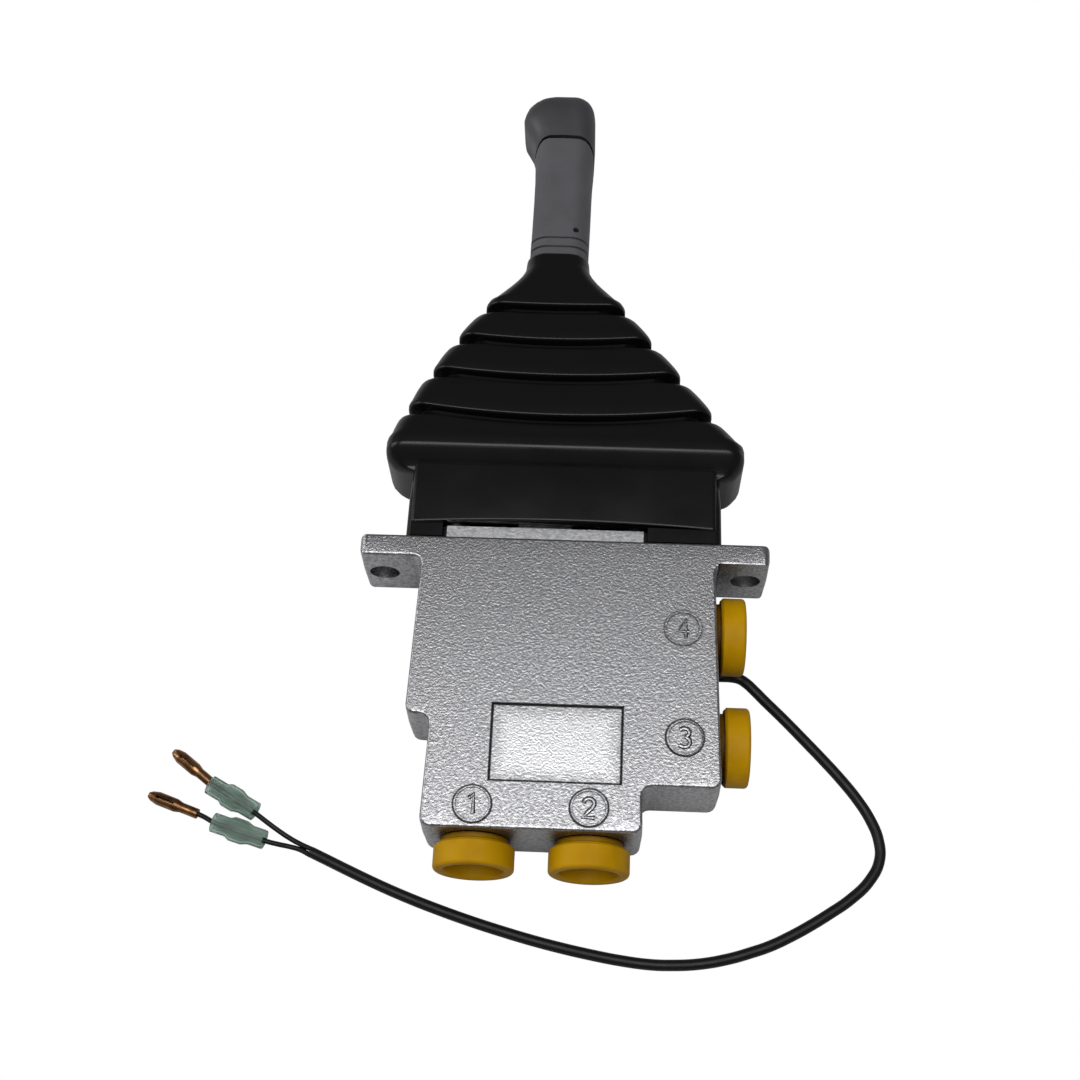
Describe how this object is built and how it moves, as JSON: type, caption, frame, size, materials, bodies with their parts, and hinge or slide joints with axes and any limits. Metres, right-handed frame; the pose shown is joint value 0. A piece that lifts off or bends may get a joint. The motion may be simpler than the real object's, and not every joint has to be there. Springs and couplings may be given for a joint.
{
  "type": "hydraulic control lever",
  "caption": "Hand lever on a slab-shaped hydraulic pilot valve, with a pleated rubber boot, plugged ports and a short two-wire lead.",
  "frame": {"origin": "middle of the two mounting holes, on the top face of the flange", "axes": "+X across the flange to the side with the two side ports, +Y from the flange up the lever, +Z out of the stamped face; the part lies on its back on the plane z = -0.0132"},
  "size_m": [0.2145, 0.2876, 0.0282],
  "materials": {
    "casting": "as cast, grainy",
    "bright_steel": "ground",
    "black_steel": "blackened",
    "spring_steel": "drawn wire",
    "bronze": "turned",
    "seal_rubber": "moulded, matt",
    "plug_plastic": "moulded polyethylene, satin",
    "boot_rubber": "moulded, satin",
    "grip_plastic": "moulded, fine texture",
    "head_plastic": "moulded, fine texture",
    "button_plastic": "moulded",
    "lead_pvc": "extruded, satin",
    "sleeve_pvc": "soft, see-through",
    "terminal_brass": "rolled, dull"
  },
  "bodies": {
    "valve": {"body_casting": "casting", "pivot_bracket": "bright_steel", "bracket_screws": "black_steel", "pivot_pin": "bright_steel", "pin_clips": "spring_steel", "guide_bush_1": "bronze", "guide_bush_2": "bronze", "bush_o_rings": "seal_rubber", "wiper_seals": "seal_rubber", "plug_1": "plug_plastic", "plug_2": "plug_plastic", "plug_pressure": "plug_plastic", "plug_tank": "plug_plastic", "boot": "boot_rubber", "cable_grommet": "seal_rubber", "inner_lead": "lead_pvc", "cord_sheath": "lead_pvc", "wire_a": "lead_pvc", "wire_b": "lead_pvc", "sleeve_a": "sleeve_pvc", "sleeve_b": "sleeve_pvc", "terminal_a": "terminal_brass", "terminal_b": "terminal_brass", "return_spring_1": "spring_steel", "return_spring_2": "spring_steel"},
    "lever": {"rocker": "bright_steel", "lever_rod": "bright_steel", "lock_nut": "bright_steel", "grip": "grip_plastic", "grip_lock_pin": "black_steel", "head_cap": "head_plastic", "switch_body": "button_plastic", "button_spring": "spring_steel"},
    "button": {"push_button": "button_plastic"},
    "pusher_left": {"pusher_1": "bright_steel", "spring_seat_1": "bright_steel", "metering_spring_1": "spring_steel"},
    "pusher_right": {"pusher_2": "bright_steel", "spring_seat_2": "bright_steel", "metering_spring_2": "spring_steel"},
    "spool_left": {"spool_1": "bright_steel"},
    "spool_right": {"spool_2": "bright_steel"}
  },
  "joints": [
    {"name": "lever_tilt", "type": "hinge", "parent": "valve", "child": "lever", "pos_m": [-0.006, 0.014, 0], "axis": [0, 0, 1], "range_deg": [-20, 20], "stiffness_Nm_per_rad": 3, "deforming": ["boot"]},
    {"name": "pusher_1_slide", "type": "slide", "parent": "valve", "child": "pusher_left", "axis": [0, 1, 0], "range_m": [-0.0058, 0.0058], "deforming": ["return_spring_1", "metering_spring_1"]},
    {"name": "pusher_2_slide", "type": "slide", "parent": "valve", "child": "pusher_right", "axis": [0, 1, 0], "range_m": [-0.0058, 0.0058], "deforming": ["return_spring_2", "metering_spring_2"]},
    {"name": "spool_1_slide", "type": "slide", "parent": "valve", "child": "spool_left", "axis": [0, 1, 0], "range_m": [-0.0016, 0.0016]},
    {"name": "spool_2_slide", "type": "slide", "parent": "valve", "child": "spool_right", "axis": [0, 1, 0], "range_m": [-0.0016, 0.0016]},
    {"name": "button_press", "type": "slide", "parent": "lever", "child": "button", "axis": [0, -1, 0], "range_m": [0, 0.0015], "stiffness_N_per_m": 200, "springref_m": -0.001, "deforming": ["button_spring"]}
  ],
  "couplings": [
    {"joint": "pusher_1_slide", "follows": "lever_tilt", "m_per_rad": -0.0162},
    {"joint": "pusher_2_slide", "follows": "lever_tilt", "m_per_rad": 0.0162},
    {"joint": "spool_1_slide", "follows": "lever_tilt", "m_per_rad": -0.0043},
    {"joint": "spool_2_slide", "follows": "lever_tilt", "m_per_rad": 0.0043}
  ]
}
